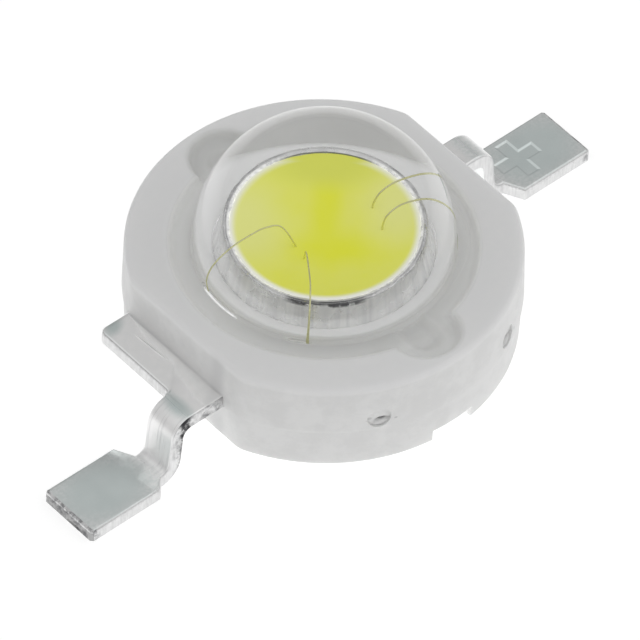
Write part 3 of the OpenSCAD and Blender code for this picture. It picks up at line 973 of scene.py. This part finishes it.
def plated_material():
    """Plated strip: a green film on the feet, clean shoulders, drawn marks at the bends, and
    painted light glowing on the necks and risers.
    """
    s = Shader("plated_lead")
    cloud = s.noise(1.1, 2)
    fine = s.noise(0.18, 3)
    drawn = s.noise(0.06, 3, 0.6, (0.08, 1, 0.05))
    scuff = s.ramp(s.noise(0.07, 4, 0.7), 0.4, 0.62)
    reach = s.math("ABSOLUTE", s.axis(0))
    bend = s.band(reach, *BEND_BAND)
    film = s.mix(s.ramp(cloud, 0.35, 0.7), (0.82, 0.89, 0.88), (0.76, 0.83, 0.82))
    rubbed = s.mix(scuff, (0.84, 0.88, 0.87), (0.96, 0.975, 0.97))
    film = s.mix(s.cover(0.0, FOOT_MIDDLES), rubbed, film)
    clean = s.mix(s.ramp(fine, 0.3, 0.7), (0.99, 0.985, 0.98), (0.95, 0.95, 0.945))
    shine = s.mix(s.ramp(drawn, 0.45, 0.65), (0.99, 0.985, 0.98), (0.84, 0.84, 0.84))
    rough = s.math("ADD", s.ramp(fine, 0.3, 0.7, 0.11, 0.18), s.times(bend, 0.3))
    patches = s.cover(0.0, FILM_PATCHES)
    bend = s.times(bend, s.inverse(s.cover(patches, [FILM_ON_BEND])))
    color = s.mix(s.span(reach, *FILM_START), clean, film)
    color = s.mix(patches, color, (0.72, 0.79, 0.78))
    marks = s.times(drawn, s.math("MULTIPLY_ADD", bend, 0.9, 0.1))
    bump = s.bump(marks, 0.011, 1, s.bump(cloud, 0.005))
    # Painted light: the strip glows faintly between the housing and the risers, but not on the film
    # patches
    painted_glow = s.times(s.band(reach, *STRIP_GLOW_BAND), s.inverse(patches))
    s.set(
        color=s.mix(bend, color, shine), metallic=1.0, roughness=rough,
        normal=s.bump(s.patch(*SCRATCH), 0.012, 1, bump),
        emission=WHITE, glow=s.times(painted_glow, 0.05),
    )
    return s.material


# How far out the long sides of the necks are torn, and the deepest tear, on the cathode
TORN_X = (3.9, 4.6)
TORN_SIDES = [(way * x, way * NECK_HIGH, 0.28, 0.2, 0) for way in (-1, 1) for x in TORN_X]
DEEP_TEAR = (-4.6, -NECK_HIGH, 0.17, 0.2, 0, 0.4, 1.0)


def sheared_material(name, light, dark):
    """The strip's cut sides, with torn spots on the necks' long sides and at the feet's ends."""
    s = Shader(name)
    tear = s.noise(0.2, 4, 0.7, None, 0.5)
    lines = s.noise(0.05, 2, 0.5, (1, 1, 0.15))
    reach = s.math("ABSOLUTE", s.axis(0))
    zone = s.cover(s.span(reach, LEAD_TIP - 0.3, LEAD_TIP - 0.1), TORN_SIDES)
    color = s.mix(s.ramp(lines, 0.3, 0.7), light, tuple(0.88 * c for c in light))
    color = s.mix(s.times(zone, s.ramp(tear, 0.45, 0.65), 0.85), color, dark)
    deep = s.times(s.patch(*DEEP_TEAR), s.ramp(tear, 0.4, 0.5, 0.3, 1))
    color = s.mix(deep, color, (0.06, 0.06, 0.065))
    bump = s.bump(tear, 0.02, 0.8, s.bump(lines, 0.004, 0.8))
    s.set(color=color, metallic=1.0, roughness=s.ramp(tear, 0.3, 0.7, 0.35, 0.5), normal=bump)
    return s.material


# Patches where the cup's rim gets dark painted shade and reflections, and where it stays bright
RIM_NEAR = (-0.88, -1.06, 0.75, 0.35, -42, 0.6, 1.1)
RIM_FAR = (0.9, 0.98, 0.75, 0.35, -42, 0.5, 1.1)
RIM_SHADE_COLOR = (0.08, 0.08, 0.085)


def slug_material():
    """Bright plating with faint upright marks, painted shade and dark reflections round the cup's
    rim, and painted light where the phosphor lights the rim.
    """
    s = Shader("plated_slug")
    cloud = s.noise(0.35, 3)
    upright = s.noise(0.09, 2, 0.5, (1, 1, 0.06))
    specks = s.noise(0.3, 4, 0.7)
    up = s.axis(2)
    high = s.span(up, RIM_Z - 0.06, RIM_Z - 0.03)
    near, far = s.patch(*RIM_NEAR), s.patch(*RIM_FAR)
    color = s.mix(s.ramp(upright, 0.3, 0.75), (0.92, 0.92, 0.91), (0.8, 0.8, 0.8))
    mark = s.ramp(specks, 0.45, 0.6)
    rim_edge_shade = s.mix(mark, (0.85, 0.85, 0.85), (0.6, 0.6, 0.61))
    rim_edge_shade = s.mix(near, rim_edge_shade, s.mix(mark, (0.2, 0.2, 0.2), RIM_SHADE_COLOR))
    rim_edge_shade = s.mix(far, rim_edge_shade, (0.95, 0.95, 0.94))
    # The rim's outer edge is darkened with painted shade and dark reflections, darkest on the near
    # side and bright on the far side
    beyond = PILLAR_R + 0.12
    color = s.mix(s.times(s.ring(PILLAR_R - 0.04, beyond, 0.008), high), color, rim_edge_shade)
    # Painted shade and dark reflection on the pillar's near side just below the rim
    pillar_shade = s.times(near, s.span(up, RIM_Z - 0.12, RIM_Z - 0.07), s.ramp(specks, 0.4, 0.5))
    color = s.mix(s.times(pillar_shade, s.ring(PILLAR_R - 0.03, beyond, 0.008)), color, RIM_SHADE_COLOR)
    inner = s.times(s.ring(CUP_R, CUP_R + 0.018, 0.004), high, far)
    color = s.mix(inner, color, (0.25, 0.26, 0.2))
    # The phosphor lights the rim at its sides
    painted_glow = s.times(s.ring(CUP_R - 0.005, CUP_R + 0.04, 0.006), high)
    painted_glow = s.times(painted_glow, s.inverse(s.math("MAXIMUM", near, far)))
    painted_glow = s.times(painted_glow, s.ramp(s.noise(0.05, 2), 0.35, 0.6, 0.05, 0.27))
    s.set(
        color=color, metallic=1.0, roughness=s.ramp(cloud, 0.3, 0.7, 0.2, 0.34),
        normal=s.bump(upright, 0.0015, 0.8, s.bump(cloud, 0.003, 0.8)),
        emission=(1.0, 1.0, 0.94, 1), glow=painted_glow,
    )
    return s.material


def gold_material():
    s = Shader("gold_wire")
    tone = s.noise(0.08, 2)
    s.set(
        color=s.mix(tone, (0.84, 0.83, 0.5), (0.7, 0.68, 0.34)), metallic=1.0,
        roughness=s.ramp(tone, 0.3, 0.7, 0.25, 0.4), normal=s.bump(tone, 0.001),
    )
    return s.material


# Patches of deeper and paler yellow painted as reflections in the phosphor, and painted shade on
# its far side
PHOSPHOR_DEEP_REFLECTIONS = [
    (0.55, 0.58, 0.4, 0.18, 48), (0.22, 0.24, 0.5, 0.2, 48), (0.0, -0.22, 0.62, 0.34, -42),
]
PHOSPHOR_PALE_REFLECTIONS = [(-0.62, 0.9, 0.75, 0.6, 48), (1.14, -0.15, 0.7, 0.5, 48)]
PHOSPHOR_SHADED = (0.8, 0.88, 0.85, 0.42, -42, 0.3, 1.2)
# The disc's deep yellow: its middle, and the distances over which it turns pale
PHOSPHOR_MIDDLE, PHOSPHOR_R, PHOSPHOR_EDGE = (0.02, 0.022), 1.17, 1.29


def phosphor_material():
    """Yellow phosphor with patches of deeper and paler yellow painted as reflections, pale at its
    rim over the cup, and glowing with painted light.
    """
    s = Shader("phosphor")
    tone = s.noise(0.5, 3)
    grain = s.noise(0.02, 2)
    # Painted reflections: deeper and paler yellow patches, mixed with random tone
    deep = s.cover(s.ramp(tone, 0.4, 0.7, 0.45, 0.6), PHOSPHOR_DEEP_REFLECTIONS)
    pale_reflection = s.cover(s.ramp(tone, 0.4, 0.7, 0.05, 0.0), PHOSPHOR_PALE_REFLECTIONS)
    disc = (*PHOSPHOR_MIDDLE, PHOSPHOR_R, PHOSPHOR_R, 0, 1.0, PHOSPHOR_EDGE / PHOSPHOR_R)
    rim = s.inverse(s.math("MAXIMUM", s.patch(*disc), s.patch(*RIM_FAR)))
    color = s.mix(deep, (0.95, 0.96, 0.25), (0.92, 0.94, 0.04))
    color = s.mix(s.times(pale_reflection, 0.9), color, (0.96, 0.97, 0.37))
    color = s.mix(s.patch(*PHOSPHOR_SHADED), color, (0.83, 0.86, 0.14))
    color = s.mix(rim, color, (0.93, 0.93, 0.86))
    s.set(
        color=color, roughness=s.ramp(grain, 0.3, 0.7, 0.5, 0.65), specular=0.0,
        normal=s.bump(grain, 0.001, 0.5),
        # The phosphor glows with painted light, brighter at its pale rim
        emission=s.mix(rim, (0.6, 0.64, 0.06), (1.0, 1.0, 0.9)),
        glow=s.math("MULTIPLY_ADD", rim, 0.07, 0.13),
    )
    return s.material


# A painted highlight on the dome's foot: a thin white glowing streak
DOME_FOOT_HIGHLIGHT_RADII = (2.665, 2.7)
DOME_FOOT_HIGHLIGHT = (-2.67, 0.1, 0.58, 0.3, 91, 0.7, 1.0)


def clear_material():
    s = Shader("clear_lens")
    smear = s.noise(1.2, 3)
    high = s.span(s.axis(2), FLANGE_TOP_Z - 0.02, FLANGE_TOP_Z)
    dome_foot_highlight = s.times(s.ring(*DOME_FOOT_HIGHLIGHT_RADII, 0.01), s.patch(*DOME_FOOT_HIGHLIGHT), high)
    dome_foot_highlight = s.times(dome_foot_highlight, s.ramp(s.noise(0.15, 2), 0.3, 0.5, 0.4, 0.9))
    s.set(
        color=(0.99, 0.995, 0.995, 1), transmission=s.inverse(dome_foot_highlight), ior=1.5,
        roughness=s.ramp(smear, 0.4, 0.7, 0.0, 0.015), normal=s.bump(s.noise(0.9, 1), 0.0015, 0.4),
        emission=WHITE, glow=s.times(dome_foot_highlight, 0.3),
    )
    return s.material


def hidden_material(name, color, roughness):
    s = Shader(name)
    tone = s.noise(0.1, 3)
    s.set(
        color=s.mix(tone, color, tuple(0.8 * c for c in color)),
        roughness=s.ramp(tone, 0.3, 0.7, roughness, roughness + 0.1), normal=s.bump(tone, 0.002),
    )
    return s.material


def paint(piece, *materials):
    """Gives the piece its materials. Clearing an empty list would reset the faces' slots."""
    if piece.data.materials:
        piece.data.materials.clear()
    for material in materials:
        piece.data.materials.append(material)


# Stage, light and camera

# The camera fitted to the photograph: angles in radians, distance in millimetres
CAMERA_TURN, CAMERA_PITCH, CAMERA_ROLL = 0.7426, 0.8343, 0.0362
CAMERA_DISTANCE = 1 / 0.0048
PIXELS_PER_MM = 50.11
IMAGE = 640
# Pixel of the photograph where the part's origin lies
CENTRE_X, CENTRE_Y = 321.38, 327.42
SENSOR = 36


def make_camera():
    data = bpy.data.cameras.new("camera")
    data.sensor_fit = "HORIZONTAL"
    data.sensor_width = SENSOR
    data.lens = SENSOR * PIXELS_PER_MM * CAMERA_DISTANCE / IMAGE
    data.shift_x = (IMAGE / 2 - CENTRE_X) / IMAGE
    data.shift_y = (CENTRE_Y - IMAGE / 2) / IMAGE
    data.clip_start = 0.01
    data.clip_end = 20
    camera = bpy.data.objects.new("camera", data)
    turns = (-CAMERA_TURN, "Z"), (math.pi / 2 - CAMERA_PITCH, "X"), (CAMERA_ROLL, "Z")
    for turn, axis in turns:
        camera.matrix_world @= Matrix.Rotation(turn, 4, axis)
    camera.matrix_world @= Matrix.Translation((0, 0, CAMERA_DISTANCE * MM))
    bpy.context.scene.collection.objects.link(camera)
    bpy.context.scene.camera = camera


FLOOR_HALF = 2000
# The floor is lit from below round the part, and fades away from it
FLOOR_BRIGHT_R, FLOOR_DIM_R = 10, 60


def make_floor():
    low, high = -FLOOR_HALF, FLOOR_HALF
    corners = [(low, low, 0), (high, low, 0), (high, high, 0), (low, high, 0)]
    floor = new_object("floor", corners, [(0, 1, 2, 3)])
    s = Shader("floor_card")
    glow = s.span(s.plan_length(s.coords), FLOOR_BRIGHT_R, FLOOR_DIM_R, 0.72, 0.12)
    s.set(color=(0.5, 0.5, 0.5, 1), roughness=0.9, specular=0.1, emission=WHITE, glow=glow)
    paint(floor, s.material)


# The studio's light: brightness overhead and at the horizon, and lobes of light or
# shade, each with the direction towards it, its half width in degrees and its gain
ZENITH, HORIZON = 0.68, 0.38
LOBES = [
    ((0.45, 0.5, 0.74), 30, -0.16),
    ((0.75, -0.65, 0.15), 50, 0.2),
]


def make_world():
    world = bpy.data.worlds.new("studio")
    bpy.context.scene.world = world
    world.use_nodes = True
    sky = Nodes(world.node_tree)
    view = sky.node("ShaderNodeTexCoord").outputs["Generated"]
    level = sky.ramp(sky.vector("DOT_PRODUCT", view, (0, 0, 1))["Value"], 0, 1, HORIZON, ZENITH)
    for direction, half, gain in LOBES:
        facing = sky.vector("DOT_PRODUCT", view, Vector(direction).normalized())["Value"]
        edge, middle = math.cos(math.radians(half * 1.4)), math.cos(math.radians(half * 0.5))
        level = sky.math("ADD", sky.ramp(facing, edge, middle, 0, gain), level)
    light = sky.node("ShaderNodeBackground", {"Color": WHITE, "Strength": level})
    sky.node("ShaderNodeOutputWorld", {0: light.outputs[0]})


def main():
    make_camera()
    make_floor()
    make_world()

    paint(make_housing(), plastic_material())
    paint(make_optic(), clear_material())
    paint(make_slug(), slug_material())
    paint(make_phosphor(), phosphor_material())
    strip = [
        plated_material(),
        sheared_material("sheared_edge", (0.82, 0.82, 0.82), (0.25, 0.25, 0.26)),
        sheared_material("broken_end", (0.45, 0.45, 0.45), (0.18, 0.18, 0.19)),
    ]
    paint(make_lead("cathode_strip", "cathode_lead", CATHODE_SHOULDER, 180), *strip)
    anode = make_lead("anode_strip", "anode_lead", ANODE_SHOULDER, 0)
    paint(anode, *strip)
    press_plus(anode)
    gold = gold_material()
    for node, points in WIRES.items():
        paint(make_wire(node, points), gold)
    paint(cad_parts["led_chip"], hidden_material("chip_crystal", (0.3, 0.36, 0.42), 0.2))
    paint(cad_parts["die_attach"], hidden_material("die_attach_paste", (0.5, 0.5, 0.5), 0.5))

    bpy.context.scene.view_settings.view_transform = "Standard"
    cycles = bpy.context.scene.cycles
    cycles.use_denoising = True
    # Light crosses the clear lens many times, and must not be blurred there
    cycles.blur_glossy = 0
    cycles.max_bounces = 24
    cycles.diffuse_bounces = 10
    cycles.glossy_bounces = 8
    cycles.transmission_bounces = 16


main()
bpy.context.view_layer.update()
